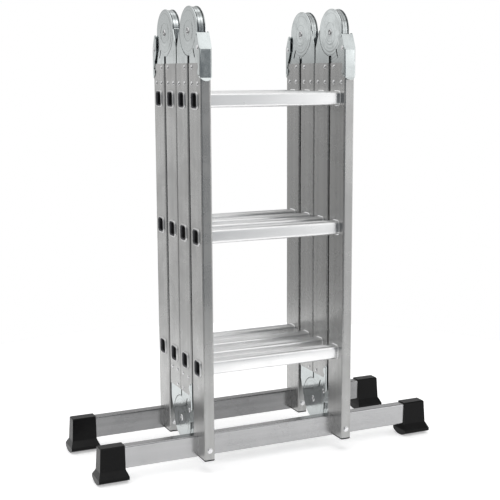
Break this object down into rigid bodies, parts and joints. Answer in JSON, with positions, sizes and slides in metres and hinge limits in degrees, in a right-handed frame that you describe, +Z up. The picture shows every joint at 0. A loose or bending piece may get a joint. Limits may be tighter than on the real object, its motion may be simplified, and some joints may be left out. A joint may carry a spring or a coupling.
{
  "type": "multi position ladder",
  "caption": "Folding aluminium ladder with hinged rung sections, locking lever hinges and stabiliser bars on flared black feet, shown folded and standing.",
  "frame": {"origin": "middle of the folded ladder's footprint, on the floor", "axes": "+Z up along the stiles, +X along the rungs to the right, -Y towards the front section"},
  "size_m": [0.8022, 0.293, 0.975],
  "materials": {
    "stile_aluminium": "satin extruded aluminium",
    "rung_aluminium": "bright brushed aluminium with grip grooves",
    "bar_aluminium": "satin extruded aluminium",
    "zinc_steel": "zinc plated pressed steel",
    "bright_fasteners": "bright plated steel",
    "rivet_aluminium": "bright aluminium",
    "spring_steel": "oiled spring wire",
    "black_plastic": "matte moulded black plastic"
  },
  "bodies": {
    "front_section": {"front_stile_left": "stile_aluminium", "front_stile_right": "stile_aluminium", "front_rungs": "rung_aluminium", "front_rivets": "rivet_aluminium", "front_end_caps": "black_plastic", "front_bar": "bar_aluminium", "front_bar_bolts": "bright_fasteners", "front_foot_left": "black_plastic", "front_foot_right": "black_plastic", "front_hinge_plates": "zinc_steel", "front_hinge_pivots": "bright_fasteners", "front_hinge_spacers": "zinc_steel", "front_lever_pins": "bright_fasteners", "front_lever_springs": "spring_steel"},
    "second_section": {"second_stile_left": "stile_aluminium", "second_stile_right": "stile_aluminium", "second_rungs": "rung_aluminium", "second_rivets": "rivet_aluminium", "front_hinge_cups": "zinc_steel", "middle_hinge_plates": "zinc_steel", "middle_lever_pins": "bright_fasteners", "middle_lever_springs": "spring_steel"},
    "third_section": {"third_stile_left": "stile_aluminium", "third_stile_right": "stile_aluminium", "third_rungs": "rung_aluminium", "third_rivets": "rivet_aluminium", "middle_hinge_cups": "zinc_steel", "rear_hinge_cups": "zinc_steel"},
    "rear_section": {"rear_stile_left": "stile_aluminium", "rear_stile_right": "stile_aluminium", "rear_rungs": "rung_aluminium", "rear_rivets": "rivet_aluminium", "rear_end_caps": "black_plastic", "rear_bar": "bar_aluminium", "rear_bar_bolts": "bright_fasteners", "rear_foot_left": "black_plastic", "rear_foot_right": "black_plastic", "rear_hinge_plates": "zinc_steel", "rear_hinge_pivots": "bright_fasteners", "rear_hinge_spacers": "zinc_steel", "rear_lever_pins": "bright_fasteners", "rear_lever_springs": "spring_steel"},
    "middle_pivots": {"middle_hinge_pivots": "bright_fasteners", "middle_hinge_spacers": "zinc_steel"},
    "front_lever_left": {"front_lever_left": "zinc_steel", "front_lock_bar_left": "zinc_steel"},
    "front_lever_right": {"front_lever_right": "zinc_steel", "front_lock_bar_right": "zinc_steel"},
    "middle_lever_left": {"middle_lever_left": "zinc_steel", "middle_lock_bar_left": "zinc_steel"},
    "middle_lever_right": {"middle_lever_right": "zinc_steel", "middle_lock_bar_right": "zinc_steel"},
    "rear_lever_left": {"rear_lever_left": "zinc_steel", "rear_lock_bar_left": "zinc_steel"},
    "rear_lever_right": {"rear_lever_right": "zinc_steel", "rear_lock_bar_right": "zinc_steel"}
  },
  "joints": [
    {"name": "front_fold", "type": "hinge", "parent": "front_section", "child": "second_section", "pos_m": [0, -0.0725, 0.925], "axis": [1, 0, 0], "range_deg": [0, 180]},
    {"name": "middle_fold_first_half", "type": "hinge", "parent": "second_section", "child": "middle_pivots", "pos_m": [0, -0.0025, 0.085], "axis": [-1, 0, 0], "range_deg": [0, 90]},
    {"name": "middle_fold_second_half", "type": "hinge", "parent": "middle_pivots", "child": "third_section", "pos_m": [0, -0.0025, 0.085], "axis": [-1, 0, 0], "range_deg": [0, 90]},
    {"name": "rear_fold", "type": "hinge", "parent": "third_section", "child": "rear_section", "pos_m": [0, 0.0675, 0.925], "axis": [1, 0, 0], "range_deg": [0, 180]},
    {"name": "front_lever_left_lock", "type": "hinge", "parent": "front_section", "child": "front_lever_left", "pos_m": [-0.1645, -0.1325, 0.891], "axis": [-1, 0, 0], "range_deg": [0, 3.8], "stiffness_Nm_per_rad": 2, "springref_deg": 5.73},
    {"name": "front_lever_right_lock", "type": "hinge", "parent": "front_section", "child": "front_lever_right", "pos_m": [0.1645, -0.1325, 0.891], "axis": [-1, 0, 0], "range_deg": [0, 3.8], "stiffness_Nm_per_rad": 2, "springref_deg": 5.73},
    {"name": "middle_lever_left_lock", "type": "hinge", "parent": "second_section", "child": "middle_lever_left", "pos_m": [-0.1645, -0.0595, 0.119], "axis": [1, 0, 0], "range_deg": [0, 3.8], "stiffness_Nm_per_rad": 2, "springref_deg": 5.73},
    {"name": "middle_lever_right_lock", "type": "hinge", "parent": "second_section", "child": "middle_lever_right", "pos_m": [0.1645, -0.0595, 0.119], "axis": [1, 0, 0], "range_deg": [0, 3.8], "stiffness_Nm_per_rad": 2, "springref_deg": 5.73},
    {"name": "rear_lever_left_lock", "type": "hinge", "parent": "rear_section", "child": "rear_lever_left", "pos_m": [-0.1645, 0.1275, 0.891], "axis": [1, 0, 0], "range_deg": [0, 3.8], "stiffness_Nm_per_rad": 2, "springref_deg": 5.73},
    {"name": "rear_lever_right_lock", "type": "hinge", "parent": "rear_section", "child": "rear_lever_right", "pos_m": [0.1645, 0.1275, 0.891], "axis": [1, 0, 0], "range_deg": [0, 3.8], "stiffness_Nm_per_rad": 2, "springref_deg": 5.73}
  ]
}
